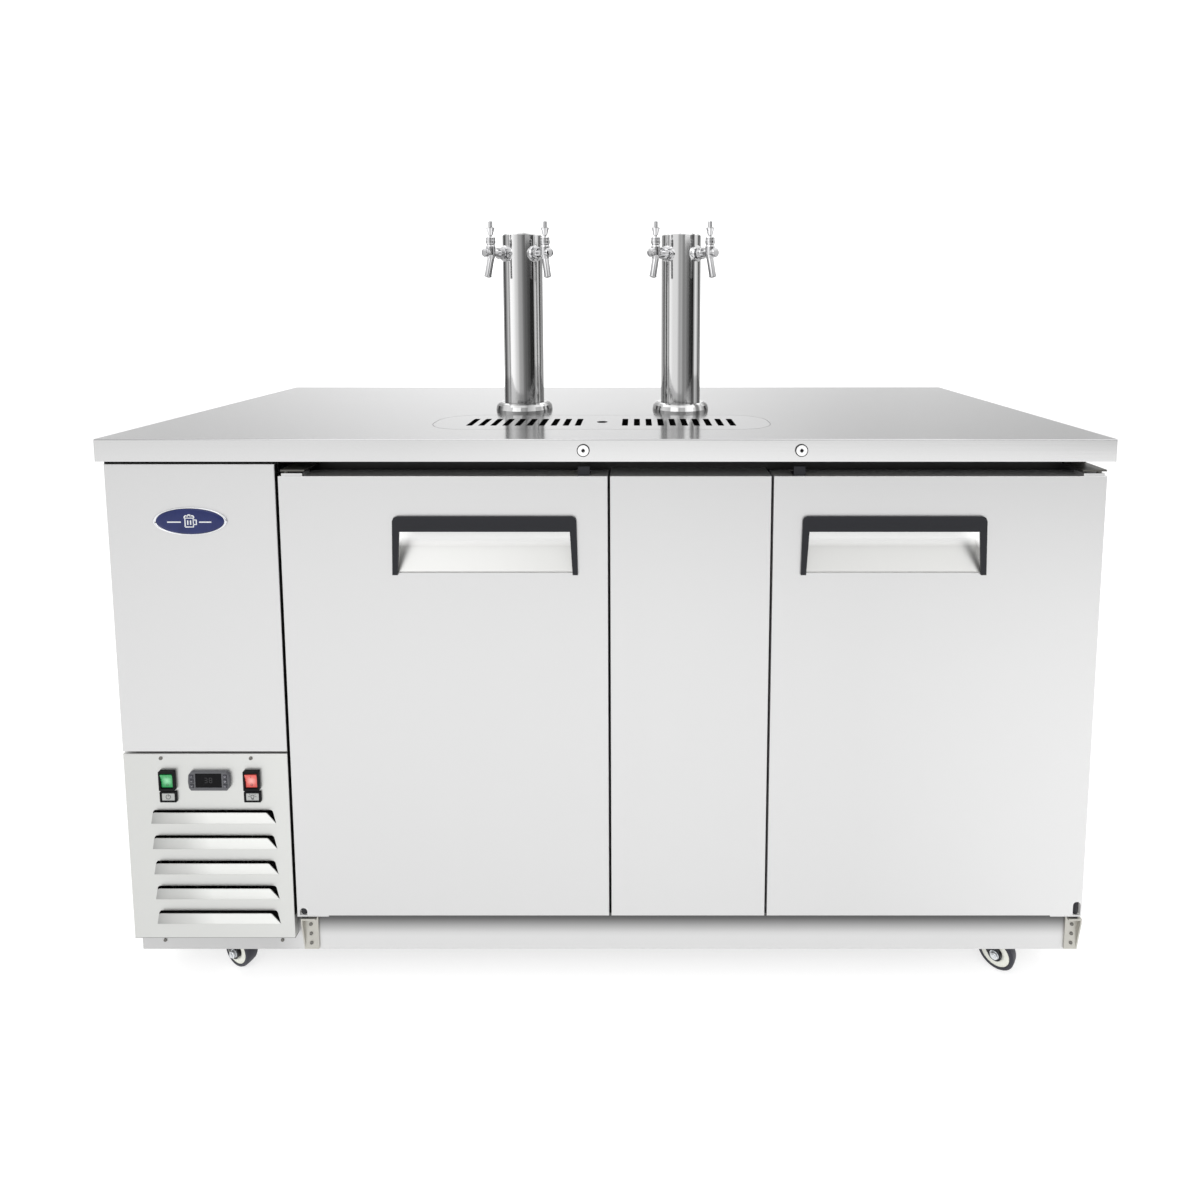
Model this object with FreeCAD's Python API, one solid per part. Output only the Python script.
import FreeCAD, Part
import math
import os
from FreeCAD import Vector as V

# A three-keg beer dispenser: an insulated cabinet with a refrigeration compartment at its left,
# two doors, a worktop with two double-tap towers over a drip tray, and four swivel casters.
# Millimetres. +X to the right, +Y to the back, +Z up, origin on the floor under the middle.

# Cabinet
TOP_WIDTH = 1745.0
TOP_DEPTH = 714.0
TOP_Z = 1020.0
LIP_HEIGHT = 39.0
TOP_SHEET = 1.5
SHEET = 1.2
BODY_X = 863.0
FRONT_Y = -350.0
BACK_Y = 345.0
BODY_TOP_Z = 980.5
BODY_BOTTOM_Z = 95.0
FOLD = 14.0
GRILLE_FOLD = 11.7

# Base
BASE_X = 858.0
BASE_Y = 338.0
BASE_Z = 62.0
DECK_Z = 134.0

# Insulated box: outer faces, wall and front plane
BOX_X = (-556.0, 861.5)
BOX_Y = (-285.0, 343.5)
WALL = 50.0
BOX_INNER_X = (BOX_X[0] + WALL, BOX_X[1] - WALL)
BOX_INNER_BACK = BOX_Y[1] - WALL
BOX_INNER_Z = (DECK_Z + WALL, 931.0)
LINER = 1.0
FRAME_Y = -288.0

# Front panels and doors
BAY_X = (-863.0, -570.0)
BADGE_Z = (454.0, 975.0)
GRILLE_Z = (95.0, 450.0)
DOOR_X = ((-565.0, 3.0), (289.5, 863.0))
CENTRE_X = (7.0, 285.5)
DOOR_Z = (139.0, 954.0)
DOOR_BACK_Y = -300.0
GASKET_INSET = 10.0
GASKET_WIDTH = 20.0
GASKET_DEPTH = 11.5
FRAME_OPENINGS = ((-506.0, -30.0), (332.0, 811.0))
FRAME_OPENING_Z = (185.0, 908.0)

# Door hinges: pivots sit close to the outer front corners
PIVOT_X = (-553.0, 853.0)
PIVOT_Y = -342.0
PIN_RADIUS = 4.0
PIN_CLEARANCE = 0.06
BUSH_RADIUS = 6.25
WINDOW_WIDTH = 13.6
WINDOW_RISE = (0.0, 12.0)
SHELF_Z = (130.0, 133.0)
ARM_Z = (962.0, 965.0)

# Recessed door handles, placed from each door's left edge
HANDLE_X = (194.0, 48.5)
HANDLE_WIDTH = 322.0
HANDLE_Z = (780.0, 884.0)
HANDLE_BAR = 27.0
CUP_DEPTH = 38.0

# Locks in the worktop's front lip
LOCK_X = (-38.0, 334.0)
LOCK_Z = 1000.5
CAM_LENGTH = 40.0

# Towers, faucets and drip tray
TOWER_X = (-190.0, 147.0)
TOWER_Y = -28.0
TOWER_RADIUS = 42.0
TOWER_WALL = 2.0
TOWER_HEIGHT = 371.0
DOME_RISE = 9.0
FLANGE_RADIUS = 60.0
FLANGE_HEIGHT = 18.0
TAP_AZIMUTH = 44.0
TAP_RADIUS = 80.0
SHANK_HEIGHT = 332.0
LEVER_PIVOT = 355.0
SPOUT_TILT = 12.0
LINE_HOLE = 60.0
TRAY_X = -14.0
TRAY_Y = -186.0
TRAY_LENGTH = 645.0
TRAY_WIDTH = 158.0
TRAY_CORNER = 66.0
GRILLE_LIFT_GAP = 0.3
SLOTS_A_SIDE = 10
SLOT_PITCH = 22.75
SLOT_FIRST = 44.5
SLOT_SIZE = (11.5, 76.0)

# Casters
CASTER_X = 718.0
CASTER_Y = 293.0
CASTER_PLATE_Z = 87.0
KINGPIN_RADIUS = 5.0
WHEEL_RADIUS = 32.0
WHEEL_WIDTH = 24.0
TRAIL = 22.0
CASTER_HEADINGS = (-24.0, -42.0, 150.0, 35.0)


def box(x, y, z):
    """A box from its (low, high) pairs."""
    return Part.makeBox(x[1] - x[0], y[1] - y[0], z[1] - z[0], V(x[0], y[0], z[0]))


def rod(start, end, radius):
    """A cylinder between two points."""
    axis = V(*end) - V(*start)
    return Part.makeCylinder(radius, axis.Length, V(*start), axis)


def prism(points, push):
    """A polygon pushed along a vector."""
    corners = [V(*p) for p in points]
    face = Part.Face(Part.makePolygon(corners + [corners[0]]))
    return face.extrude(V(*push))


def turned(profile, base, axis=(0, 0, 1)):
    """A solid of revolution from (radius, height) points, standing on base along axis."""
    corners = [V(r, 0, h) for r, h in profile]
    face = Part.Face(Part.makePolygon(corners + [corners[0]]))
    solid = face.revolve(V(0, 0, 0), V(0, 0, 1), 360)
    turn = FreeCAD.Rotation(V(0, 0, 1), V(*axis))
    solid.Placement = FreeCAD.Placement(V(*base), turn)
    return solid


def rounded_plate(centre, size, radius, z):
    """A flat plate with rounded corners between two heights."""
    cx, cy = centre
    hx, hy = size[0] / 2 - radius, size[1] / 2 - radius
    core = box((cx - hx, cx + hx), (cy - hy - radius, cy + hy + radius), z)
    core = core.fuse(box((cx - hx - radius, cx + hx + radius), (cy - hy, cy + hy), z))
    corners = [rod((cx + sx * hx, cy + sy * hy, z[0]), (cx + sx * hx, cy + sy * hy, z[1]), radius)
               for sx in (-1, 1) for sy in (-1, 1)]
    return core.multiFuse(corners).removeSplitter()


def shell_box(x, y, z, wall, open_faces=""):
    """A thin-walled box; open_faces names the missing sides among l r f b t u."""
    inner_x = (x[0] + (-wall if "l" in open_faces else wall), x[1] + (wall if "r" in open_faces else -wall))
    inner_y = (y[0] + (-wall if "f" in open_faces else wall), y[1] + (wall if "b" in open_faces else -wall))
    inner_z = (z[0] + (-wall if "u" in open_faces else wall), z[1] + (wall if "t" in open_faces else -wall))
    return box(x, y, z).cut(box(inner_x, inner_y, inner_z))


def slab_with_holes(x, y, z, holes):
    """A slab as adjoining boxes that leave rectangular holes, each hole (x0, x1, y0, y1)."""
    cuts = sorted({y[0], y[1]} | {edge for hole in holes for edge in hole[2:] if y[0] < edge < y[1]})
    pieces = []
    for low, high in zip(cuts, cuts[1:]):
        left = x[0]
        for hole in sorted(h for h in holes if h[2] < high and h[3] > low):
            pieces.append(box((left, hole[0]), (low, high), z))
            left = hole[1]
        pieces.append(box((left, x[1]), (low, high), z))
    return pieces


def edges_along(shape, direction, test):
    """Straight edges parallel to a direction whose middle passes a test."""
    found = []
    for edge in shape.Edges:
        if len(edge.Vertexes) != 2:
            continue
        run = edge.Vertexes[1].Point - edge.Vertexes[0].Point
        if run.Length < 1e-6 or abs(abs(run.normalize().dot(V(*direction))) - 1) > 1e-6:
            continue
        if test(edge.CenterOfMass):
            found.append(edge)
    return found


def save(name, *solids):
    """Write one sub-part, a single solid or a group of separate ones."""
    shape = solids[0] if len(solids) == 1 else Part.makeCompound(list(solids))
    if not shape.isValid():
        print("invalid shape:", name)
    shape.exportStep("parts/" + name + ".step")


def cut_all(shape, tools):
    """The shape less every tool."""
    return shape.cut(Part.makeCompound(list(tools))) if tools else shape


# Fasteners ------------------------------------------------------------------------------------

SCREW_HEAD = 3.4
SCREW_SHANK = 2.0
BRACKET_SCREW_Z = (77.5, 96.0, 114.5)
LOWER_BRACKET_X = (-545.0, 851.5)
LOWER_BRACKET_HALF = (13.5, 12.0)
UPPER_BRACKET_X = (-539.5, 841.5)
PANEL_SCREWS = [(x, FRONT_Y, 442.0) for x in (-795.5, -635.0)]
BASE_SCREWS = [(x, -BASE_Y, 80.0) for x in (-816.0, -600.0)]
BRACKET_SCREWS = [(x, -BASE_Y - 3.0, z) for x in LOWER_BRACKET_X for z in BRACKET_SCREW_Z]
UPPER_SCREWS = [(x + dx, FRAME_Y - 3.0, 971.5) for x in UPPER_BRACKET_X for dx in (-12.0, 12.0)]
BACK_SCREWS = [(x, BACK_Y, z) for x in (-845.0, -573.0, -100.0, 373.0, 845.0) for z in (118.0, 955.0)]


def screw(place, out, length):
    """A domed screw with a slot; out is -1 when its head faces the front, +1 the back."""
    x, y, z = place
    head = turned([(0, 0), (SCREW_HEAD, 0), (2.9, 1.3), (1.7, 1.9), (0, 2.1)], place, (0, out, 0))
    shank = rod((x, y - length * out, z), (x, y, z), SCREW_SHANK)
    slot = box((x - 2.4, x + 2.4), (y + out * 1.8 - 0.8, y + out * 1.8 + 0.8), (z - 0.4, z + 0.4))
    return head.fuse(shank).cut(slot)


def screw_hole(place):
    """The hole that a screw's shank goes through."""
    x, y, z = place
    return rod((x, y - 13.0, z), (x, y + 13.0, z), SCREW_SHANK)


def screws():
    long = [screw(p, -1, 12.0) for p in PANEL_SCREWS + BASE_SCREWS + BRACKET_SCREWS]
    return long + [screw(p, -1, 5.8) for p in UPPER_SCREWS] + [screw(p, 1, 1.4) for p in BACK_SCREWS]


# Worktop --------------------------------------------------------------------------------------

def worktop():
    """The stainless top: a folded pan, open underneath, with a return flange on its lip."""
    hx, hy = TOP_WIDTH / 2, TOP_DEPTH / 2
    z0 = TOP_Z - LIP_HEIGHT
    outer = box((-hx, hx), (-hy, hy), (z0, TOP_Z))
    rim = [e for e in outer.Edges if e.CenterOfMass.z > TOP_Z - 0.1]
    corners = edges_along(outer, (0, 0, 1), lambda c: True)
    outer = outer.makeFillet(2.0, rim + corners)
    inner = box((-hx + TOP_SHEET, hx - TOP_SHEET), (-hy + TOP_SHEET, hy - TOP_SHEET), (z0 - 1, TOP_Z - TOP_SHEET))
    pan = outer.cut(inner)
    flange = box((-hx + TOP_SHEET, hx - TOP_SHEET), (-hy + TOP_SHEET, hy - TOP_SHEET), (z0, z0 + SHEET))
    flange = flange.cut(box((-hx + 12, hx - 12), (-hy + 12, hy - 12), (z0 - 1, z0 + 2)))
    pan = pan.fuse(flange)
    gap = 1.0
    tools = [rounded_plate((TRAY_X, TRAY_Y), (TRAY_LENGTH + 2 * gap, TRAY_WIDTH + 2 * gap), TRAY_CORNER + gap,
                           (TOP_Z - 5, TOP_Z + 5))]
    tools += [rod((x, TOWER_Y, TOP_Z - 5), (x, TOWER_Y, TOP_Z + 5), LINE_HOLE / 2 - 2) for x in TOWER_X]
    tools += [rod((x, -hy - 5, LOCK_Z), (x, -hy + 5, LOCK_Z), 9.56) for x in LOCK_X]
    return cut_all(pan, tools)


# Insulation and liner -------------------------------------------------------------------------

PIPE_HOLE = (-531.0, 255.0, 850.0)
PIPE_HOLE_RADIUS = 18.0
DRAIN_RADIUS = 12.5


def line_holes(margin=0.0):
    """The rectangular openings for the beer lines under each tower."""
    half = LINE_HOLE / 2 + margin
    return [(x - half, x + half, TOWER_Y - half, TOWER_Y + half) for x in TOWER_X]


def insulation():
    """Foam: the open-fronted box, the worktop's core and the centre panel's core."""
    x, y = BOX_X, BOX_Y
    ix, iz = BOX_INNER_X, BOX_INNER_Z
    pieces = [
        box((x[0], ix[0]), y, (DECK_Z, BODY_TOP_Z)),
        box((ix[1], x[1]), y, (DECK_Z, BODY_TOP_Z)),
        box(ix, (BOX_INNER_BACK, y[1]), (DECK_Z, BODY_TOP_Z)),
        box(ix, (y[0], BOX_INNER_BACK), (DECK_Z, iz[0])),
    ]
    px, py, pz = PIPE_HOLE
    pieces[0] = pieces[0].cut(rod((x[0] - 1, py, pz), (ix[0] + 1, py, pz), PIPE_HOLE_RADIUS))
    half = DRAIN_RADIUS + 1.0
    drain = (TRAY_X - half, TRAY_X + half, TRAY_Y - half, TRAY_Y + half)
    pieces += slab_with_holes(ix, (y[0], BOX_INNER_BACK), (iz[1], BODY_TOP_Z), line_holes() + [drain])
    hx, hy = TOP_WIDTH / 2 - TOP_SHEET, TOP_DEPTH / 2 - TOP_SHEET
    well = (TRAY_X - TRAY_LENGTH / 2 - 9.5, TRAY_X + TRAY_LENGTH / 2 + 9.5,
            TRAY_Y - TRAY_WIDTH / 2 - 9.5, TRAY_Y + TRAY_WIDTH / 2 + 9.5)
    locks = [(LOCK_X[0] - 56, LOCK_X[0] + 16, -hy, -hy + 34), (LOCK_X[1] - 16, LOCK_X[1] + 56, -hy, -hy + 34)]
    core_z = (TOP_Z - LIP_HEIGHT + SHEET, TOP_Z - TOP_SHEET)
    pieces += slab_with_holes((-hx, hx), (-hy, hy), core_z, line_holes() + [well] + locks)
    cx = (CENTRE_X[0] + SHEET, CENTRE_X[1] - SHEET)
    pieces.append(box(cx, (FRONT_Y + SHEET, FRAME_Y), (DOOR_Z[0] + SHEET, DOOR_Z[1] - SHEET)))
    return pieces


def inner_liner():
    """The liner of the keg space, with holes in its ceiling and in its left wall."""
    z = BOX_INNER_Z
    x, y = BOX_INNER_X, (BOX_Y[0], BOX_INNER_BACK)
    liner = shell_box(x, y, z, LINER, open_faces="f")
    tools = [box(hole[:2], hole[2:], (z[1] - 5, z[1] + 5)) for hole in line_holes()]
    tools.append(rod((TRAY_X, TRAY_Y, z[1] - 5), (TRAY_X, TRAY_Y, z[1] + 5), DRAIN_RADIUS + 0.5))
    px, py, pz = PIPE_HOLE
    tools.append(rod((x[0] - 5, py, pz), (x[0] + 5, py, pz), PIPE_HOLE_RADIUS))
    return cut_all(liner, tools)


def front_frame():
    """The black frame around both door openings, with the strip that closes the gap under the worktop."""
    plate = box(BOX_X, (FRAME_Y, BOX_Y[0]), (DECK_Z, BODY_TOP_Z))
    holes = [box(x, (FRAME_Y - 5, BOX_Y[0] + 5), FRAME_OPENING_Z) for x in FRAME_OPENINGS]
    plate = cut_all(plate, holes)
    strip = box(BOX_X, (-343.0, FRAME_Y), (BODY_TOP_Z - 1.5, BODY_TOP_Z))
    slots = [box((LOCK_X[0] - 56, LOCK_X[0] + 16), (-350, -326), (970, 990)),
             box((LOCK_X[1] - 16, LOCK_X[1] + 56), (-350, -326), (970, 990))]
    strip = cut_all(strip, slots)
    places = [(x, FRAME_Y - 1, z) for x, y, z in UPPER_SCREWS]
    return cut_all(plate.fuse(strip), [screw_hole(p) for p in places])


# Sheet panels ---------------------------------------------------------------------------------

def folded_front(x, z, depth):
    """A front panel folded back on its four sides, its upright edges softened."""
    outer = box(x, (FRONT_Y, FRONT_Y + depth), z)
    upright = edges_along(outer, (0, 0, 1), lambda c: c.y < FRONT_Y + 0.1)
    level = edges_along(outer, (1, 0, 0), lambda c: c.y < FRONT_Y + 0.1)
    outer = outer.makeFillet(1.6, upright + level)
    inner = box((x[0] + SHEET, x[1] - SHEET), (FRONT_Y + SHEET, FRONT_Y + depth + 1), (z[0] + SHEET, z[1] - SHEET))
    return outer.cut(inner)


LOUVRE_TOPS = (106.0, 154.7, 203.5, 252.0, 300.2)
LOUVRE_HEIGHT = 26.5
LOUVRE_FOOT = (-820.0, -595.0)
LOUVRE_HEAD = (-815.0, -600.0)
BLADE_HEAD = (-811.5, -608.5)
BLADE_RISE = 25.3
BLADE_REACH = 6.0
BLADE_CORNER = 2.0
SWITCH_X = (-784.5, -634.0)
SWITCH_Z = 402.0
SWITCH_SIZE = (28.0, 36.5)
LABEL_Z = 370.5
LABEL_SIZE = (30.0, 20.0)
CONTROLLER_X = (-746.0, -672.0)
CONTROLLER_Z = (384.5, 419.0)


def louvre_hole(z):
    """The opening of one louvre, narrower at its head, z being its foot."""
    y = FRONT_Y - 2
    head = z + LOUVRE_HEIGHT
    points = [(LOUVRE_FOOT[0], y, z), (LOUVRE_FOOT[1], y, z), (LOUVRE_HEAD[1], y, head - 3),
              (LOUVRE_HEAD[1] - 3, y, head), (LOUVRE_HEAD[0] + 3, y, head), (LOUVRE_HEAD[0], y, head - 3)]
    return prism(points, (0, 5, 0))


def louvre_blade(z):
    """The tongue of one louvre, bent outwards from the foot of its opening, its upper corners cut off."""
    length = math.hypot(BLADE_RISE, BLADE_REACH)
    out, up = BLADE_REACH / length, BLADE_RISE / length
    y0, z0 = FRONT_Y + 0.2, z - 0.4
    c = BLADE_CORNER
    outline = [(LOUVRE_FOOT[0], 0), (LOUVRE_FOOT[1], 0), (BLADE_HEAD[1] + 0.5 * c, length - c),
               (BLADE_HEAD[1] - c, length), (BLADE_HEAD[0] + c, length), (BLADE_HEAD[0] - 0.5 * c, length - c)]
    points = [(x, y0 - out * along, z0 + up * along) for x, along in outline]
    return prism(points, (0, 1.1 * up, 1.1 * out))


def grille_panel():
    """The lower front panel of the machine compartment, with louvres and openings for the controls."""
    panel = folded_front(BAY_X, GRILLE_Z, GRILLE_FOLD)
    feet = [GRILLE_Z[1] - top - LOUVRE_HEIGHT for top in LOUVRE_TOPS]
    tools = [louvre_hole(z) for z in feet]
    y = (FRONT_Y - 2, FRONT_Y + 3)
    for x in SWITCH_X:
        tools.append(box((x - 12.5, x + 12.5), y, (SWITCH_Z - 15.5, SWITCH_Z + 15.5)))
    tools.append(box((CONTROLLER_X[0] + 4, CONTROLLER_X[1] - 4), y, (CONTROLLER_Z[0] + 4, CONTROLLER_Z[1] - 4)))
    tools += [screw_hole(p) for p in PANEL_SCREWS]
    panel = cut_all(panel, tools)
    return panel.multiFuse([louvre_blade(z) for z in feet])


def side_panel(side):
    """A side wall; the left one has a narrow flange turned inwards at its front."""
    x0, x1 = sorted((side * BODY_X, side * (BODY_X - SHEET)))
    y = (-333.0 if side < 0 else -284.0, BACK_Y - SHEET - 0.2)
    wall = box((x0, x1), y, (BODY_BOTTOM_Z, BODY_TOP_Z))
    if side > 0:
        return [wall]
    return [wall, box((x1, x1 + 12), (y[0], y[0] + SHEET), (DECK_Z + 1, BODY_TOP_Z))]


BACK_SLOTS = [(-832.0 + 84.0 * column, 170.0 + 34.0 * row) for column in range(3) for row in range(9)]
INLET = (-640.0, 560.0)


def back_panel():
    """The rear sheet, with rows of vents behind the machine compartment and the cord's inlet."""
    panel = box((-BODY_X + SHEET, BODY_X - SHEET), (BACK_Y - SHEET, BACK_Y), (BODY_BOTTOM_Z + 1, BODY_TOP_Z))
    tools = [box((x, x + 70), (BACK_Y - 5, BACK_Y + 5), (z, z + 9)) for x, z in BACK_SLOTS]
    tools.append(rod((INLET[0], BACK_Y - 5, INLET[1]), (INLET[0], BACK_Y + 5, INLET[1]), 10.0))
    tools += [screw_hole(p) for p in BACK_SCREWS]
    panel = cut_all(panel, tools)
    gland = turned([(6, 0), (10, 0), (10, SHEET), (15, SHEET), (15, 6), (10, 11), (6, 11)],
                   (INLET[0], BACK_Y - SHEET, INLET[1]), (0, 1, 0))
    return panel, gland


# Base and casters -----------------------------------------------------------------------------

RAIL_WIDTH = 112.0
BASE_RETURN = 8.0
BULKHEAD_X = -557.2


def caster_places():
    """Swivel axis and heading of each caster: front left, front right, back left, back right."""
    spots = ((-CASTER_X, -CASTER_Y), (CASTER_X, -CASTER_Y), (-CASTER_X, CASTER_Y), (CASTER_X, CASTER_Y))
    return [(x, y, heading) for (x, y), heading in zip(spots, CASTER_HEADINGS)]


def base_frame():
    """The base: skirt with a return at its foot, deck, two caster rails and the machine compartment's bulkhead."""
    t = TOP_SHEET
    z = (BASE_Z, DECK_Z - t)
    foot = (z[0], z[0] + t)
    x, y = (-BASE_X, BASE_X), (-BASE_Y, BASE_Y)
    front = box(x, (y[0], y[0] + t), z)
    front = cut_all(front, [screw_hole(p) for p in BASE_SCREWS + BRACKET_SCREWS])
    pieces = [front, box(x, (y[1] - t, y[1]), z), box(x, y, (DECK_Z - t, DECK_Z))]
    for side in (-1, 1):
        pieces.append(box(x, sorted((side * (BASE_Y - t), side * (BASE_Y - BASE_RETURN))), foot))
        pieces.append(box(sorted((side * BASE_X, side * (BASE_X - t))), (y[0] + t, y[1] - t), (foot[1], z[1])))
        lip_x = sorted((side * BASE_X, side * (BASE_X - 16)))
        pieces.append(box(lip_x, (y[0] + BASE_RETURN, y[1] - BASE_RETURN), foot))
        centre, half = side * CASTER_X, RAIL_WIDTH / 2
        rail_y = (y[0] + 17, y[1] - 17)
        pieces.append(box((centre - half, centre + half), rail_y, (CASTER_PLATE_Z, CASTER_PLATE_Z + 2)))
        for edge in (centre - half, centre + half - 2):
            pieces.append(box((edge, edge + 2), rail_y, (CASTER_PLATE_Z + 2, z[1])))
    bulkhead = box((BULKHEAD_X, BOX_X[0]), (FRAME_Y, BACK_Y - SHEET), (DECK_Z, BODY_TOP_Z))
    px, py, pz = PIPE_HOLE
    pieces.append(bulkhead.cut(rod((BULKHEAD_X - 5, py, pz), (BOX_X[0] + 5, py, pz), PIPE_HOLE_RADIUS)))
    return pieces


def caster_plates():
    """Each caster's fixed part: plate, bearing race, kingpin with its head, and four bolt heads."""
    pieces = []
    z = CASTER_PLATE_Z
    for x, y, heading in caster_places():
        plate = box((x - 45, x + 45), (y - 32, y + 32), (z - 3, z))
        pieces.append(plate.makeFillet(6, edges_along(plate, (0, 0, 1), lambda c: True)))
        pieces.append(turned([(0, 0), (20, 0), (22, 2), (22, 6.2), (0, 6.2)], (x, y, z - 9.2)))
        pieces.append(rod((x, y, z - 20.4), (x, y, z - 9.2), KINGPIN_RADIUS))
        pieces.append(turned([(0, 0), (7, 0), (8, 1), (8, 4), (0, 4)], (x, y, z - 24.4)))
        for bx in (-34, 34):
            for by in (-22, 22):
                pieces.append(turned([(0, 0), (4.5, 0), (6.5, 1.5), (6.5, 5), (0, 5)], (x + bx, y + by, z - 8)))
    return pieces


def caster_fork(x, y, heading):
    """A swivelling fork with its axle bolt, modelled heading along +X and then turned."""
    z = CASTER_PLATE_Z
    inner = WHEEL_WIDTH / 2 + 1.6
    outer = inner + 2.6
    top = turned([(0, z - 16.8), (20, z - 16.8), (24, z - 13.4), (24, z - 9.6), (0, z - 9.6)], (0, 0, 0))
    top = top.cut(rod((0, 0, 0), (0, 0, z), KINGPIN_RADIUS + PIN_CLEARANCE))
    legs = []
    for side in (-1, 1):
        y0, y1 = sorted((side * inner, side * outer))
        outline = [(-14, y0, z - 14), (-17, y0, z - 17), (TRAIL - 9, y0, WHEEL_RADIUS - 7),
                   (TRAIL + 11.5, y0, WHEEL_RADIUS), (18, y0, z - 17), (14, y0, z - 14)]
        end = rod((TRAIL, y0, WHEEL_RADIUS), (TRAIL, y1, WHEEL_RADIUS), 11.5)
        legs.append(prism(outline, (0, y1 - y0, 0)).fuse(end))
    axle = rod((TRAIL, -outer - 2.2, WHEEL_RADIUS), (TRAIL, outer + 1.5, WHEEL_RADIUS), 4.0)
    nut_profile = [(0, 0), (6.5, 0), (6.5, 4.0), (5.4, 5.2), (4.0, 5.2), (4.0, 6.4), (0, 6.4)]
    nuts = [turned(nut_profile, (TRAIL, side * outer, WHEEL_RADIUS), (0, side, 0)) for side in (-1, 1)]
    keep_out = rod((TRAIL, -inner, WHEEL_RADIUS), (TRAIL, inner, WHEEL_RADIUS), WHEEL_RADIUS + 1.5)
    fork = top.multiFuse(legs).cut(keep_out).multiFuse([axle] + nuts)
    return placed_caster(fork, x, y, heading)


def caster_wheel(x, y, heading):
    """A tyred wheel with a running bore, dished on both faces."""
    r, w = WHEEL_RADIUS, WHEEL_WIDTH / 2
    bore = 4.0 + PIN_CLEARANCE
    half = [(bore, w), (8, w), (9, w - 1), (9, w - 3), (12.4, w - 3), (13.2, w - 1.4), (16, w - 0.6),
            (21.5, w - 0.6), (23.8, w - 1.8), (24.4, w - 1.0), (26.5, w), (29.5, w - 0.8), (r - 0.5, w - 3.5)]
    profile = [(radius, -y) for radius, y in half] + [(r, 0)] + half[::-1]
    wheel = turned(profile, (TRAIL, 0, r), (0, 1, 0))
    return placed_caster(wheel, x, y, heading)


def placed_caster(shape, x, y, heading):
    """A piece modelled at a caster's swivel axis, moved and turned into place."""
    turn = FreeCAD.Rotation(V(0, 0, 1), heading)
    shape.Placement = FreeCAD.Placement(V(x, y, 0), turn).multiply(shape.Placement)
    return shape


# Hinges and doors -----------------------------------------------------------------------------

def hinge_brackets():
    """Lower angle brackets on the base and upper ones on the front frame, each with its pin."""
    pieces = []
    for pivot, bracket_x, half, side in zip(PIVOT_X, LOWER_BRACKET_X, LOWER_BRACKET_HALF, (-1, 1)):
        y = -BASE_Y
        x0, x1 = bracket_x - half, bracket_x + half
        plate = box((x0, x1), (y - 3, y), (65, SHELF_Z[1]))
        shelf = box((x0, x1), (-350.5, y - 3), SHELF_Z)
        edge = x0 if side < 0 else x1 - 2.5
        gusset = prism([(edge, y - 3, 68), (edge, y - 3, 130), (edge, -350.5, 130), (edge, -350.5, 124)], (2.5, 0, 0))
        pin = turned([(0, 133), (PIN_RADIUS, 133), (PIN_RADIUS, 158), (3, 159), (0, 159)], (pivot, PIVOT_Y, 0))
        lower = plate.multiFuse([shelf, gusset, pin])
        pieces.append(cut_all(lower, [screw_hole(p) for p in BRACKET_SCREWS]))
    for pivot, bracket_x in zip(PIVOT_X, UPPER_BRACKET_X):
        x = (bracket_x - 20.5, bracket_x + 20.5)
        arm = box(x, (-349, FRAME_Y), ARM_Z)
        flange = box(x, (FRAME_Y - 3, FRAME_Y), (ARM_Z[1], 978))
        pin = turned([(0, 940), (3, 940), (PIN_RADIUS, 941), (PIN_RADIUS, 962), (0, 962)], (pivot, PIVOT_Y, 0))
        upper = arm.multiFuse([flange, pin])
        pieces.append(cut_all(upper, [screw_hole(p) for p in UPPER_SCREWS]))
    return pieces


def door_skin(index):
    """The stainless outer pan of a door, cut out for its handle and hinges, and its two hinge leaves."""
    x = DOOR_X[index]
    pivot = PIVOT_X[index]
    side = (-1, 1)[index]
    skin = folded_front(x, DOOR_Z, DOOR_BACK_Y - FRONT_Y - 4)
    hx = handle_x(index)
    tools = [box((hx[0] + 3, hx[1] - 3), (FRONT_Y - 2, FRONT_Y + 3), (HANDLE_Z[0] + 2.5, HANDLE_Z[1] - 3)),
             hinge_window(index),
             rod((pivot, PIVOT_Y, DOOR_Z[0] - 1), (pivot, PIVOT_Y, DOOR_Z[0] + 2), BUSH_RADIUS),
             rod((pivot, PIVOT_Y, DOOR_Z[1] - 3), (pivot, PIVOT_Y, DOOR_Z[1] + 2), 5.0)]
    outer = DOOR_X[index][index]
    foot = box(sorted((outer, outer - side * 57)), (FRONT_Y + 1, DOOR_BACK_Y - 5), (DOOR_Z[0] - 2.2, DOOR_Z[0]))
    head = box(sorted((pivot + side * 6, pivot - side * 30)), (FRONT_Y + 1.5, FRONT_Y + 30),
               (DOOR_Z[1], DOOR_Z[1] + 4.5))
    foot = foot.cut(rod((pivot, PIVOT_Y, 130), (pivot, PIVOT_Y, 142), BUSH_RADIUS))
    head = head.cut(rod((pivot, PIVOT_Y, 950), (pivot, PIVOT_Y, 960), PIN_RADIUS + PIN_CLEARANCE))
    return [cut_all(skin, tools), foot, head]


def hinge_window(index):
    """The arched window at the foot of a door where its hinge bush shows."""
    pivot, half = PIVOT_X[index], WINDOW_WIDTH / 2
    z0 = DOOR_Z[0] + 1.6
    z1 = z0 + half + WINDOW_RISE[index]
    arch = rod((pivot, FRONT_Y - 2, z1), (pivot, PIVOT_Y, z1), half)
    return arch.fuse(box((pivot - half, pivot + half), (FRONT_Y - 2, PIVOT_Y), (z0, z1)))


def handle_x(index):
    """The left and right edges of a door's handle."""
    left = DOOR_X[index][0] + HANDLE_X[index]
    return (left, left + HANDLE_WIDTH)


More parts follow.
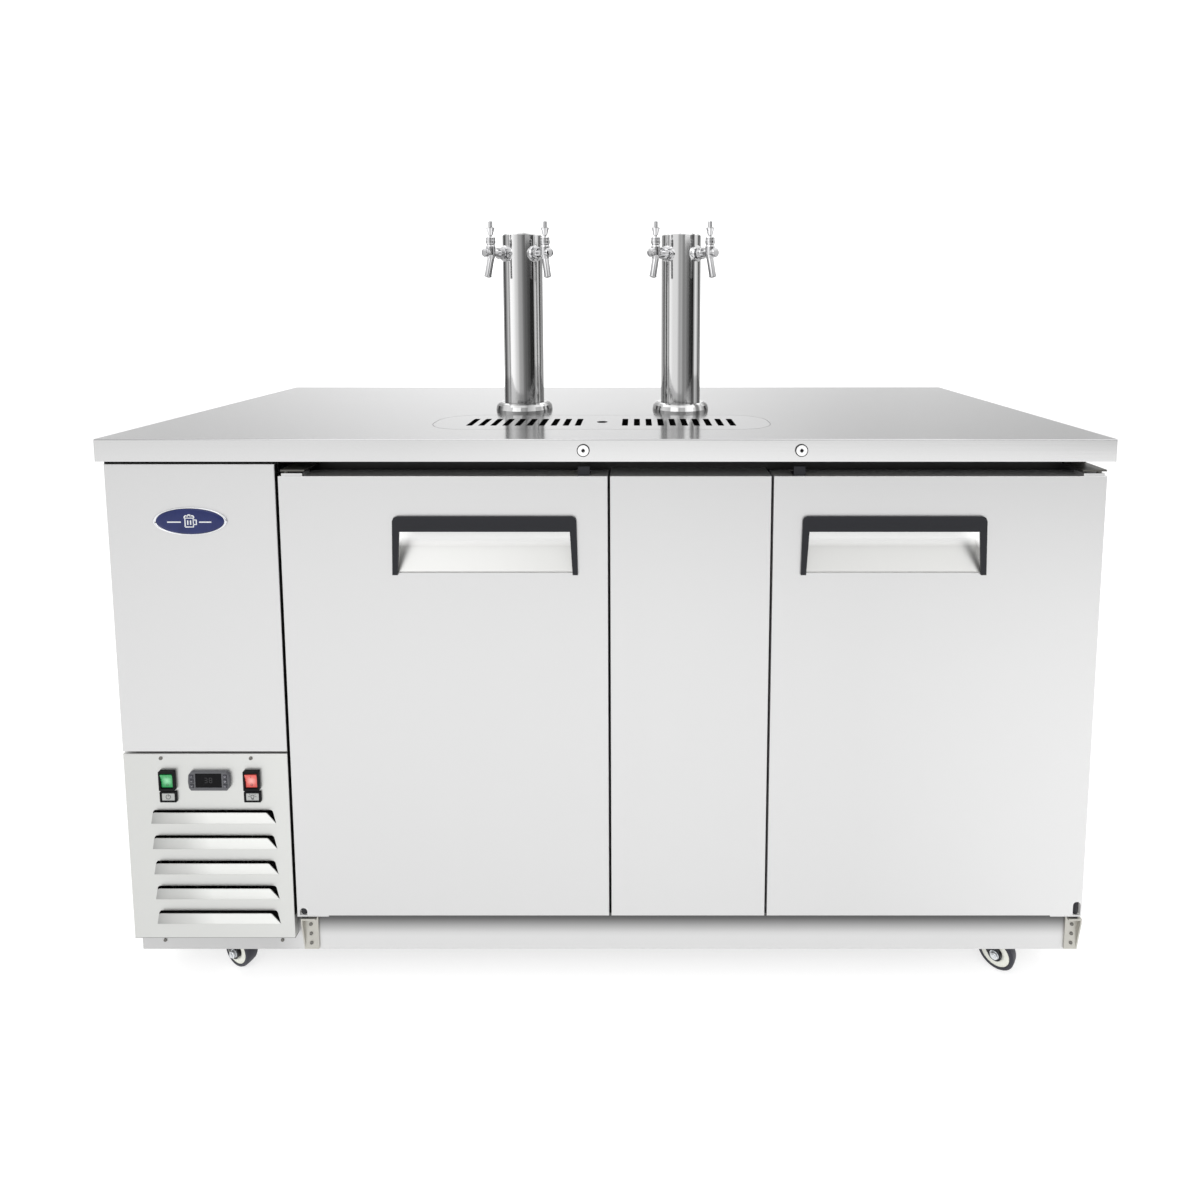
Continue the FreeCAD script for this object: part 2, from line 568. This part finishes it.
def door_core(index):
    """The foam core and moulded inner liner of a door, as blocks that leave the handle's pocket open."""
    x = (DOOR_X[index][0] + SHEET, DOOR_X[index][1] - SHEET)
    z = (DOOR_Z[0] + SHEET, DOOR_Z[1] - SHEET)
    hx = handle_x(index)
    pocket = (hx[0] + 4, hx[1] - 4, HANDLE_Z[0] + 3, HANDLE_Z[1] - 2)
    front_y, back_y = FRONT_Y + SHEET, DOOR_BACK_Y
    deep = FRONT_Y + CUP_DEPTH + 1.2
    liner = box(x, (deep, back_y), z)
    slabs = [box((x[0], pocket[0]), (front_y, deep), z), box((pocket[1], x[1]), (front_y, deep), z),
             box(pocket[:2], (front_y, deep), (z[0], pocket[2])), box(pocket[:2], (front_y, deep), (pocket[3], z[1]))]
    pivot = PIVOT_X[index]
    tools = [hinge_window(index)]
    tools.append(rod((pivot, PIVOT_Y, z[0] - 2), (pivot, PIVOT_Y, z[0] + 32), BUSH_RADIUS))
    tools.append(rod((pivot, PIVOT_Y, z[1] - 20), (pivot, PIVOT_Y, z[1] + 2), BUSH_RADIUS))
    return [liner] + [cut_all(piece, tools) for piece in slabs]


def door_gasket(index):
    """The magnetic seal: a ring with a soft bellows section."""
    x = (DOOR_X[index][0] + GASKET_INSET, DOOR_X[index][1] - GASKET_INSET)
    z = (DOOR_Z[0] + GASKET_INSET, DOOR_Z[1] - GASKET_INSET)
    front, back = DOOR_BACK_Y, DOOR_BACK_Y + GASKET_DEPTH
    outer = box(x, (front, back), z)
    rear = [e for e in outer.Edges if e.CenterOfMass.y > back - 0.1]
    outer = outer.makeFillet(3.0, rear)
    w = GASKET_WIDTH
    hole = box((x[0] + w, x[1] - w), (front - 1, back + 1), (z[0] + w, z[1] - w))
    grooves = [box((x[0] - 1, x[0] + 2.5), (front + 3, front + 5), (z[0] - 1, z[1] + 1)),
               box((x[1] - 2.5, x[1] + 1), (front + 3, front + 5), (z[0] - 1, z[1] + 1)),
               box((x[0] - 1, x[1] + 1), (front + 3, front + 5), (z[0] - 1, z[0] + 2.5)),
               box((x[0] - 1, x[1] + 1), (front + 3, front + 5), (z[1] - 2.5, z[1] + 1))]
    return cut_all(outer, [hole] + grooves)


def handle_cup(index):
    """The pressed steel scoop: its floor slopes inwards and up from the foot of the opening."""
    x0, x1 = handle_x(index)
    x0, x1 = x0 + 5, x1 - 5
    z0, z1 = HANDLE_Z[0] + 4, HANDLE_Z[1] - 3
    y0 = FRONT_Y + SHEET
    deep = FRONT_Y + CUP_DEPTH
    turn_z = z0 + 62
    outer = prism([(x0, y0, z0), (x0, deep, turn_z), (x0, deep, z1), (x0, y0, z1)], (x1 - x0, 0, 0))
    t = 1.0
    inner_points = [(x0 + t, y0 - 1, z0 + t * 0.2), (x0 + t, y0, z0 + t * 0.9), (x0 + t, deep - t, turn_z + t * 0.6),
                    (x0 + t, deep - t, z1 - t), (x0 + t, y0 - 1, z1 - t)]
    inner = prism(inner_points, (x1 - x0 - 2 * t, 0, 0))
    return outer.cut(inner)


def handle_grip(index):
    """The black handle: a bar across the top and two tapering legs, rounded at its upper corners."""
    x0, x1 = handle_x(index)
    z0, z1 = HANDLE_Z
    flare = 2.0
    y_front = FRONT_Y - 4.0
    corner = 8.0
    outline = [(x0, y_front, z0), (x0 + flare, y_front, z1 - corner), (x0 + flare + 2.4, y_front, z1 - 2.4),
               (x0 + flare + corner, y_front, z1), (x1 - flare - corner, y_front, z1),
               (x1 - flare - 2.4, y_front, z1 - 2.4), (x1 - flare, y_front, z1 - corner), (x1, y_front, z0)]
    outer = prism(outline, (0, 4.0, 0))
    inside = [(x0 + 9, y_front - 1, z0 - 1), (x0 + 13.5, y_front - 1, z1 - HANDLE_BAR),
              (x1 - 13.5, y_front - 1, z1 - HANDLE_BAR), (x1 - 9, y_front - 1, z0 - 1)]
    frame = outer.cut(prism(inside, (0, 6.0, 0)))
    bar = box((x0 + 14, x1 - 14), (FRONT_Y - 4.0, FRONT_Y + 7), (z1 - HANDLE_BAR, z1 - 5))
    lower = edges_along(bar, (1, 0, 0), lambda c: c.z < z1 - HANDLE_BAR + 0.1)
    bar = bar.makeFillet(3.0, lower)
    return frame.fuse(bar)


def door_fittings(index):
    """A door's black fittings: handle grip, two hinge bushes and the lock's strike."""
    pivot = PIVOT_X[index]
    bore = PIN_RADIUS + PIN_CLEARANCE
    foot = DOOR_Z[0] - 2.5
    bottom = DOOR_Z[0] + SHEET
    washer = DECK_Z + 0.3
    lower = turned([(bore, washer), (7, washer), (7, foot), (BUSH_RADIUS, foot), (BUSH_RADIUS, bottom + 32),
                    (bore, bottom + 32)], (pivot, PIVOT_Y, 0))
    top = DOOR_Z[1] - SHEET
    upper = turned([(bore, top - 20), (BUSH_RADIUS, top - 20), (BUSH_RADIUS, top), (bore, top)], (pivot, PIVOT_Y, 0))
    lock = LOCK_X[index]
    strike = box((lock - 10, lock + 10), (FRONT_Y + 4, FRONT_Y + 6), (DOOR_Z[1], DOOR_Z[1] + 16))
    foot = box((lock - 10, lock + 10), (FRONT_Y + 4, FRONT_Y + 30), (DOOR_Z[1], DOOR_Z[1] + 1.5))
    return [handle_grip(index), lower, upper, strike.fuse(foot)]


def centre_panel():
    """The fixed panel between the doors."""
    return folded_front(CENTRE_X, DOOR_Z, FRAME_Y - FRONT_Y)


# Locks and controls ---------------------------------------------------------------------------

def lock(index):
    """A cam lock's turning part: keyed face, barrel and the cam behind the lip."""
    x = LOCK_X[index]
    side = (-1, 1)[index]
    face = -TOP_DEPTH / 2 - 2.5
    profile = [(0, 0), (10.0, 0), (11, 0.8), (11, 2.2), (9.5, 2.2), (9.5, 19.0), (5, 19.0), (5, 24.5), (0, 24.5)]
    barrel = turned(profile, (x, face, LOCK_Z), (0, 1, 0))
    cam_y = (face + 19.0, face + 21.5)
    cam = box(sorted((x, x + side * CAM_LENGTH)), cam_y, (LOCK_Z - 7, LOCK_Z + 7))
    round_end = rod((x, cam_y[0], LOCK_Z), (x, cam_y[1], LOCK_Z), 8.5)
    keyway = box((x - 0.8, x + 0.8), (face - 1, face + 6), (LOCK_Z - 3.6, LOCK_Z + 3.6))
    return barrel.multiFuse([cam, round_end]).cut(keyway)


ROCKER_TILT = 8.0
ROCKER_SIZE = (21.0, 26.0)
ROCKER_Y = FRONT_Y - 1.5
HOOD = 5.5


def switch_housings():
    """Two hooded switch housings and the two label frames under them."""
    pieces = []
    for x in SWITCH_X:
        hood_x = (x - SWITCH_SIZE[0] / 2, x + SWITCH_SIZE[0] / 2)
        hood_z = (SWITCH_Z - SWITCH_SIZE[1] / 2, SWITCH_Z + SWITCH_SIZE[1] / 2)
        hood = box(hood_x, (FRONT_Y - HOOD, FRONT_Y), hood_z)
        hood = hood.makeFillet(1.5, edges_along(hood, (0, 1, 0), lambda c: True))
        body = box((x - 12.5, x + 12.5), (FRONT_Y, FRONT_Y + 22), (SWITCH_Z - 15.5, SWITCH_Z + 15.5))
        well = box((x - ROCKER_SIZE[0] / 2 - 0.6, x + ROCKER_SIZE[0] / 2 + 0.6), (FRONT_Y - HOOD - 1, FRONT_Y + 12),
                   (SWITCH_Z - ROCKER_SIZE[1] / 2 - 1.2, SWITCH_Z + ROCKER_SIZE[1] / 2 + 1.2))
        pieces.append(hood.fuse(body).cut(well))
        frame = box((x - LABEL_SIZE[0] / 2, x + LABEL_SIZE[0] / 2), (FRONT_Y - 3, FRONT_Y),
                    (LABEL_Z - LABEL_SIZE[1] / 2, LABEL_Z + LABEL_SIZE[1] / 2))
        frame = frame.makeFillet(1.5, edges_along(frame, (0, 1, 0), lambda c: True))
        dish = box((x - 12, x + 12), (FRONT_Y - 4, FRONT_Y - 2), (LABEL_Z - 7, LABEL_Z + 7))
        pieces.append(frame.cut(dish))
    return pieces


def rocker(x):
    """A switch rocker on its cross pivot, shown pressed at its foot."""
    half_x, half_z = ROCKER_SIZE[0] / 2, ROCKER_SIZE[1] / 2
    front, back = ROCKER_Y - 3.0, ROCKER_Y + 4.0
    points = [(x - half_x, back, -half_z + 2), (x - half_x, front, -half_z), (x - half_x, front + 1.6, 0),
              (x - half_x, front, half_z), (x - half_x, back, half_z - 2)]
    cap = prism([(px, py - ROCKER_Y, pz) for px, py, pz in points], (2 * half_x, 0, 0))
    cap = cap.fuse(rod((x - half_x - 0.4, 0, 0), (x + half_x + 0.4, 0, 0), 2.0))
    cap.rotate(V(0, 0, 0), V(1, 0, 0), ROCKER_TILT)
    cap.translate(V(0, ROCKER_Y, SWITCH_Z))
    return cap


KEY_SIZE = (6.5, 6.8)
KEY_TRAVEL = 0.8


def key_places():
    """Centres of the controller's keys, three at each side of its screen."""
    middle = (CONTROLLER_Z[0] + CONTROLLER_Z[1]) / 2 + 1.0
    columns = (CONTROLLER_X[0] + 7.2, CONTROLLER_X[1] - 7.2)
    return [(x, middle + dz) for x in columns for dz in (8.8, 0.0, -8.8)]


def controller_case():
    """The controller: a bezel with bowed ends, a sunk screen, wells for its keys and a body behind."""
    x0, x1 = CONTROLLER_X
    z0, z1 = CONTROLLER_Z
    y = FRONT_Y - 6.0
    outline = [(x0 + 5, y, z0), (x1 - 5, y, z0), (x1 - 1.2, y, z0 + 5), (x1, y, (z0 + z1) / 2), (x1 - 1.2, y, z1 - 5),
               (x1 - 5, y, z1), (x0 + 5, y, z1), (x0 + 1.2, y, z1 - 5), (x0, y, (z0 + z1) / 2), (x0 + 1.2, y, z0 + 5)]
    bezel = prism(outline, (0, 6.0, 0))
    bezel = bezel.makeFillet(1.2, [e for e in bezel.Edges if e.BoundBox.YMax < y + 0.1])
    body = box((x0 + 4, x1 - 4), (FRONT_Y, FRONT_Y + 40), (z0 + 4, z1 - 4))
    screen = box((x0 + 13.5, x1 - 13.5), (y - 1, y + 1.2), (z0 + 6, z1 - 1.6))
    wells = [box((x - KEY_SIZE[0] / 2 - 0.4, x + KEY_SIZE[0] / 2 + 0.4), (y - 1, y + 4.0),
                 (z - KEY_SIZE[1] / 2 - 0.4, z + KEY_SIZE[1] / 2 + 0.4)) for x, z in key_places()]
    return cut_all(bezel.fuse(body), [screen] + wells)


def controller_key(x, z):
    """One key, domed a little, standing just proud of the bezel."""
    y = FRONT_Y - 6.0
    key = box((x - KEY_SIZE[0] / 2, x + KEY_SIZE[0] / 2), (y - 0.9, y + 4.0 - KEY_TRAVEL - 0.4),
              (z - KEY_SIZE[1] / 2, z + KEY_SIZE[1] / 2))
    return key.makeFillet(0.8, [e for e in key.Edges if e.BoundBox.YMax < y - 0.8])


# Towers and taps ------------------------------------------------------------------------------

def tap_axes():
    """Each tap's tower centre and outward direction, left tower first."""
    axes = []
    for x in TOWER_X:
        for side in (-1, 1):
            angle = math.radians(TAP_AZIMUTH)
            axes.append((x, V(side * math.sin(angle), -math.cos(angle), 0)))
    return axes


def tap_placement(x, out):
    """Moves a tap modelled with its tower at the origin and its outward side along +X."""
    turn = FreeCAD.Rotation(V(1, 0, 0), out)
    return FreeCAD.Placement(V(x, TOWER_Y, TOP_Z), turn)


def tower(x):
    """A tower: bolted flange ring, tube with shank holes, and domed cap."""
    r = TOWER_RADIUS
    flange = turned([(r + 0.05, 0), (FLANGE_RADIUS, 0), (FLANGE_RADIUS, 4), (FLANGE_RADIUS - 2, 12),
                     (FLANGE_RADIUS - 6, FLANGE_HEIGHT - 2), (FLANGE_RADIUS - 11, FLANGE_HEIGHT), (r + 0.05, FLANGE_HEIGHT)],
                    (x, TOWER_Y, TOP_Z))
    tube = turned([(r - TOWER_WALL, 0), (r, 0), (r, TOWER_HEIGHT - 4), (r - TOWER_WALL, TOWER_HEIGHT - 4)],
                  (x, TOWER_Y, TOP_Z))
    holes = []
    for tower_x, out in tap_axes():
        if tower_x == x:
            start = V(x, TOWER_Y, TOP_Z + SHANK_HEIGHT)
            end = start + out * 60
            holes.append(rod(tuple(start), tuple(end), 11.0))
    tube = cut_all(tube, holes)
    dome = [(r * math.sin(math.radians(a)), TOWER_HEIGHT - 0.8 + DOME_RISE * math.cos(math.radians(a)))
            for a in (80, 70, 60, 50, 40, 30, 15)]
    cap = turned([(0, TOWER_HEIGHT - 4), (r, TOWER_HEIGHT - 4), (r, TOWER_HEIGHT - 0.8)] + dome
                 + [(0, TOWER_HEIGHT - 0.8 + DOME_RISE)], (x, TOWER_Y, TOP_Z))
    return [flange, tube, cap]


def faucet_shank():
    """A shank: inside nut, threaded tail, contoured wall flange and coupling nut."""
    z = SHANK_HEIGHT
    profile = [(4.5, 22), (11, 22), (11, 36), (16.5, 36), (16.5, 47), (15, 49.5), (11, 50), (10, 50.5), (10, 52.5),
               (11.5, 53), (12, 54), (12, 62), (11.5, 63), (8.0, 63), (4.5, 63)]
    shank = turned(profile, (0, 0, z), (1, 0, 0))
    wall = Part.makeCylinder(TOWER_RADIUS, 80, V(0, 0, z - 40))
    bore = rod((0, 0, z), (60, 0, z), 11.0)
    shank = shank.cut(wall.cut(bore))
    nut = turned([(11, 30), (14, 30), (14, 35.5), (11, 35.5)], (0, 0, z), (1, 0, 0))
    flutes = [rod((52.5, 12.4 * math.cos(a), z + 12.4 * math.sin(a)), (63.5, 12.4 * math.cos(a), z + 12.4 * math.sin(a)), 1.1)
              for a in [2 * math.pi * k / 12 for k in range(12)]]
    return [cut_all(shank, flutes), nut]


def faucet_body():
    """A faucet: barrel with front nut, tilted spout, and the bonnet that holds the lever's ball."""
    x, z = TAP_RADIUS, SHANK_HEIGHT
    barrel = turned([(0, 319), (6.9, 319), (8.2, 323), (9.6, 327), (9.6, 344), (8.9, 346), (8.2, 347), (8.2, 350), (0, 350)],
                    (x, 0, 0))
    cross = turned([(0, 63), (7.8, 63), (7.8, 90), (9.0, 90.5), (9.4, 91.5), (9.4, 95), (8.4, 96.5), (4.5, 97), (0, 97)],
                   (0, 0, z), (1, 0, 0))
    tilt = math.radians(SPOUT_TILT)
    mouth = (x + 40 * math.sin(tilt), 0, 321.5 - 40 * math.cos(tilt))
    throat = (x, 0, 321.5)
    spout = rod(throat, mouth, 6.9)
    bend = Part.makeSphere(6.9, V(*throat))
    body = barrel.multiFuse([cross, spout, bend])
    ring = turned([(6.0, 0), (7.4, 0), (7.4, 3.5), (6.0, 3.5)], mouth, (-math.sin(tilt), 0, math.cos(tilt)))
    body = body.fuse(ring)
    bore_end = (x + 10 * math.sin(tilt), 0, 321.5 - 10 * math.cos(tilt))
    beyond = (x + 45 * math.sin(tilt), 0, 321.5 - 45 * math.cos(tilt))
    body = body.cut(rod(bore_end, beyond, 5.3))
    ball_room = Part.makeSphere(5.0 + PIN_CLEARANCE, V(x, 0, LEVER_PIVOT))
    bonnet = turned([(0, 350), (9.4, 350), (9.7, 351), (9.7, 356.5), (9.2, 357.5), (9.2, 362), (8.0, 364), (0, 364)],
                    (x, 0, 0))
    opening = box((x - 0.01, x + 3.8), (-3.7, 3.7), (355, 366))
    ends = [rod((x, 0, 355), (x, 0, 366), 3.7), rod((x + 3.8, 0, 355), (x + 3.8, 0, 366), 3.7)]
    return [body.cut(ball_room), cut_all(bonnet, [ball_room, opening] + ends)]


def faucet_lever():
    """A lever: ball, stem, flared ferrule and the threaded stud for a tap handle."""
    ball = Part.makeSphere(5.0, V(TAP_RADIUS, 0, LEVER_PIVOT))
    profile = [(0, 356), (3.2, 356), (3.2, 367.5), (4.7, 367.5), (5.0, 369), (6.4, 375), (8.3, 381), (8.3, 382.6),
               (7.2, 383), (4.3, 383), (4.3, 395), (3.4, 396), (0, 396)]
    return ball.fuse(turned(profile, (TAP_RADIUS, 0, 0)))


def at_tap(solids, x, out):
    """Copies of a tap's solids put at one tap."""
    moved = []
    for solid in solids:
        copy = solid.copy()
        copy.Placement = tap_placement(x, out).multiply(copy.Placement)
        moved.append(copy)
    return moved


# Drip tray ------------------------------------------------------------------------------------

def drip_tray():
    """The pan under the grille, hung by its rim below the worktop, with its drain stub."""
    centre = (TRAY_X, TRAY_Y)
    rim_z = (TOP_Z - TOP_SHEET - SHEET, TOP_Z - TOP_SHEET)
    rim = rounded_plate(centre, (TRAY_LENGTH + 16, TRAY_WIDTH + 16), TRAY_CORNER + 8, rim_z)
    deep = TOP_Z - 31
    outer = rounded_plate(centre, (TRAY_LENGTH - 16, TRAY_WIDTH - 16), TRAY_CORNER - 8, (deep, rim_z[0]))
    inner = rounded_plate(centre, (TRAY_LENGTH - 16 - 2 * SHEET, TRAY_WIDTH - 16 - 2 * SHEET),
                          TRAY_CORNER - 8 - SHEET, (deep + SHEET, TOP_Z + 1))
    foot = 898 - deep
    stub = turned([(0, foot), (10, foot), (10, foot + 28), (DRAIN_RADIUS, foot + 30), (DRAIN_RADIUS, SHEET), (0, SHEET)],
                  (TRAY_X, TRAY_Y, deep))
    bore = rod((TRAY_X, TRAY_Y, 890), (TRAY_X, TRAY_Y, deep + 5), 8.5)
    return rim.fuse(outer).cut(inner).fuse(stub).cut(bore)


def drip_grille():
    """The slotted plate that lies flush in the worktop over the tray."""
    z = (TOP_Z - TOP_SHEET + GRILLE_LIFT_GAP, TOP_Z)
    plate = rounded_plate((TRAY_X, TRAY_Y), (TRAY_LENGTH, TRAY_WIDTH), TRAY_CORNER, z)
    tools = []
    for side in (-1, 1):
        for k in range(SLOTS_A_SIDE):
            x = TRAY_X + side * (SLOT_FIRST + SLOT_PITCH * k)
            tools.append(rounded_plate((x, TRAY_Y - 4), SLOT_SIZE, 2.5, (z[0] - 1, z[1] + 1)))
    tools.append(rod((TRAY_X, TRAY_Y - 2, z[0] - 1), (TRAY_X, TRAY_Y - 2, z[1] + 1), 10.5))
    return cut_all(plate, tools)


# Refrigeration --------------------------------------------------------------------------------

FAN_CENTRE = (-711.0, 262.0)
FAN_HOLE = 92.0
EVAPORATOR_X = (-500.0, -250.0)
EVAPORATOR_Y = (-20.0, 285.0)
EVAPORATOR_Z = (800.0, 927.0)
EVAPORATOR_FAN = (-375.0, 863.0)
EVAPORATOR_FAN_HOLE = 52.0


def compressor():
    """The hermetic compressor: two-part steel shell, foot plate, terminal box and rubber feet."""
    x, y = -725.0, 190.0
    z = DECK_Z
    shell = turned([(0, 10), (40, 10), (66, 22), (76, 40), (76, 92), (80, 93), (80, 99), (76, 100), (76, 140),
                    (68, 164), (46, 182), (20, 189), (0, 190)], (x, y, z))
    foot = box((x - 85, x + 85), (y - 60, y + 60), (z + 8, z + 12))
    terminals = box((x + 70, x + 104), (y - 32, y + 32), (z + 70, z + 130))
    feet = [turned([(0, 0), (13, 0), (11, 8), (0, 8)], (x + dx, y + dy, z)) for dx in (-70, 70) for dy in (-45, 45)]
    return [shell.multiFuse([foot, terminals])] + feet


def condenser():
    """The coil block behind the louvres, its fan shroud, and the fan motor on its bracket."""
    x0, x1 = -838.0, -584.0
    z0, z1 = DECK_Z + 6, 378.0
    fins = [box((x, x + 0.6), (-322, -284), (z0 + 2, z1 - 2)) for x in range(-832, -588, 12)]
    rows = [rod((x0 + 0.5, y, z), (x1 - 0.5, y, z), 4.5) for y in (-313, -293) for z in range(158, 372, 25)]
    ends = [box((x, x + 1.5), (-323, -283), (z0, z1)) for x in (x0, x1 - 1.5)]
    coil = ends[0].multiFuse(ends[1:] + rows + fins)
    cx, cz = FAN_CENTRE
    shroud = shell_box((x0, x1), (-283, -258), (z0, z1), 1.0, open_faces="f")
    shroud = shroud.cut(rod((cx, -262, cz), (cx, -250, cz), FAN_HOLE))
    motor = turned([(4, 0), (18, 0), (34, 4), (36, 10), (36, 52), (30, 60), (4, 60)], (cx, -226, cz), (0, 1, 0))
    arms = []
    for dz in (-1, 1):
        plate = box((cx - 9, cx + 9), (-200, -197), sorted((cz + dz * 30, cz + dz * (FAN_HOLE + 22))))
        leg_z = sorted((cz + dz * (FAN_HOLE + 19), cz + dz * (FAN_HOLE + 22)))
        arms.append(plate.fuse(box((cx - 9, cx + 9), (-258, -200), leg_z)))
    return [coil, shroud, motor.multiFuse(arms)]


def fan(centre, y, radius, hub, depth):
    """A fan of five pitched blades on a hub, turning about the Y axis."""
    cx, cz = centre
    rotor = turned([(0, 0), (hub * 0.8, 0), (hub, 2), (hub, depth), (0, depth)], (cx, y, cz), (0, 1, 0))
    blades = []
    for k in range(5):
        blade = box((hub * 0.6, radius), (depth / 2 - 0.8, depth / 2 + 0.8), (-radius * 0.26, radius * 0.26))
        tips = edges_along(blade, (0, 1, 0), lambda c: c.x > radius - 0.1)
        blade = blade.makeFillet(radius * 0.18, tips)
        blade.rotate(V(0, depth / 2, 0), V(1, 0, 0), 24)
        blade.rotate(V(0, 0, 0), V(0, 1, 0), 72 * k)
        blade.translate(V(cx, y, cz))
        blades.append(blade)
    return rotor.multiFuse(blades)


def evaporator():
    """The cold-air unit under the ceiling: vented cover, coil inside and the fan's motor."""
    x, y, z = EVAPORATOR_X, EVAPORATOR_Y, EVAPORATOR_Z
    cover = shell_box(x, y, z, 1.5, open_faces="b")
    cx, cz = EVAPORATOR_FAN
    tools = [rod((cx, y[0] - 3, cz), (cx, y[0] + 5, cz), EVAPORATOR_FAN_HOLE)]
    tools += [box((x[0] + 24 + 22 * k, x[0] + 34 + 22 * k), (y[0] + 120, y[1] - 20), (z[0] - 2, z[0] + 3)) for k in range(10)]
    px, py, pz = PIPE_HOLE
    tools.append(rod((x[0] - 3, py, pz), (x[0] + 4, py, pz), 14.0))
    cover = cut_all(cover, tools)
    rows = [rod((x[0] + 14, py2, z2), (x[1] - 14, py2, z2), 4.5) for py2 in (190, 215) for z2 in range(822, 922, 24)]
    fins = [box((fx, fx + 0.8), (178, 228), (z[0] + 10, z[1] - 8)) for fx in range(int(x[0]) + 20, int(x[1]) - 18, 14)]
    coil = rows[0].multiFuse(rows[1:] + fins)
    motor = turned([(3, 0), (14, 0), (22, 3), (22, 34), (3, 34)], (cx, y[0] + 34, cz), (0, 1, 0))
    bridge = box((cx - 70, cx + 70), (y[0] + 50, y[0] + 52), (cz - 6, cz + 6)).cut(rod((cx, 0, cz), (cx, 60, cz), 22))
    return [cover, coil, motor, bridge]


def pipe(points, radius, bend):
    """A tube along straight runs joined by arcs of one bend radius."""
    corners = [V(*p) for p in points]
    edges = []
    start = corners[0]
    for before, corner, after in zip(corners, corners[1:], corners[2:]):
        a = (before - corner).normalize()
        b = (after - corner).normalize()
        half = math.acos(max(-1, min(1, a.dot(b)))) / 2
        reach = bend / math.tan(half)
        p, q = corner + a * reach, corner + b * reach
        middle = corner + (a + b).normalize() * (bend / math.sin(half) - bend)
        edges.append(Part.LineSegment(start, p).toShape())
        edges.append(Part.Arc(p, middle, q).toShape())
        start = q
    edges.append(Part.LineSegment(start, corners[-1]).toShape())
    path = Part.Wire(edges)
    section = Part.Wire(Part.makeCircle(radius, corners[0], corners[1] - corners[0]))
    return path.makePipeShell([section], True, False)


def refrigerant_pipes():
    """Discharge, liquid and suction lines between the compressor, the condenser and the evaporator."""
    px, py, pz = PIPE_HOLE
    discharge = [(-725, 200, 324.2), (-725, 200, 370), (-640, 200, 370), (-640, -150, 370), (-600, -150, 370),
                 (-600, -254, 370)]
    liquid = [(-825, -254, 180), (-825, -120, 180), (-825, -120, 520), (-600, -120, 520), (-600, py + 8, 520),
              (-600, py + 8, pz + 8), (-480, py + 8, pz + 8)]
    suction = [(-700, 190, 323.2), (-700, 190, 440), (-700, py - 7, 440), (-620, py - 7, 440), (-620, py - 7, pz - 6),
               (-480, py - 7, pz - 6)]
    return [pipe(discharge, 3.0, 14), pipe(liquid, 3.0, 14), pipe(suction, 4.5, 18)]


# Files ----------------------------------------------------------------------------------------

def cabinet():
    save("worktop", worktop())
    save("side_panel_left", *side_panel(-1))
    save("side_panel_right", *side_panel(1))
    save("back_panel", *back_panel())
    save("insulation_foam", *insulation())
    save("inner_liner", inner_liner())
    save("front_frame", front_frame())
    save("centre_panel", centre_panel())
    save("base_frame", *base_frame())
    save("badge_panel", folded_front(BAY_X, BADGE_Z, FOLD))
    save("grille_panel", grille_panel())
    save("hinge_brackets", *hinge_brackets())
    save("screws", *screws())


def doors():
    for index, name in enumerate(("door_left", "door_right")):
        save(name + "_skin", *door_skin(index))
        save(name + "_core", *door_core(index))
        save(name + "_gasket", door_gasket(index))
        save(name + "_handle_cup", handle_cup(index))
        save(name + "_fittings", *door_fittings(index))
    save("lock_left", lock(0))
    save("lock_right", lock(1))


def controls():
    save("controller_case", controller_case())
    save("switch_housings", *switch_housings())
    save("power_rocker", rocker(SWITCH_X[0]))
    save("light_rocker", rocker(SWITCH_X[1]))
    for number, (x, z) in enumerate(key_places(), 1):
        save("controller_key_%d" % number, controller_key(x, z))


def dispensing():
    save("tower_left", *tower(TOWER_X[0]))
    save("tower_right", *tower(TOWER_X[1]))
    shanks, bodies = [], []
    for number, (x, out) in enumerate(tap_axes(), 1):
        shanks += at_tap(faucet_shank(), x, out)
        bodies += at_tap(faucet_body(), x, out)
        save("faucet_lever_%d" % number, *at_tap([faucet_lever()], x, out))
    save("faucet_shanks", *shanks)
    save("faucet_bodies", *bodies)
    save("drip_tray", drip_tray())
    save("drip_grille", drip_grille())


def refrigeration():
    save("compressor", *compressor())
    save("condenser", *condenser())
    save("condenser_fan", fan(FAN_CENTRE, -252.0, 84.0, 18.0, 22.0))
    save("evaporator", *evaporator())
    save("evaporator_fan", fan(EVAPORATOR_FAN, EVAPORATOR_Y[0] + 8, 46.0, 12.0, 18.0))
    save("refrigerant_pipes", *refrigerant_pipes())


def casters():
    save("caster_plates", *caster_plates())
    for number, (x, y, heading) in enumerate(caster_places(), 1):
        save("caster_fork_%d" % number, caster_fork(x, y, heading))
        save("caster_wheel_%d" % number, caster_wheel(x, y, heading))


os.makedirs("parts", exist_ok=True)
cabinet()
doors()
controls()
dispensing()
refrigeration()
casters()
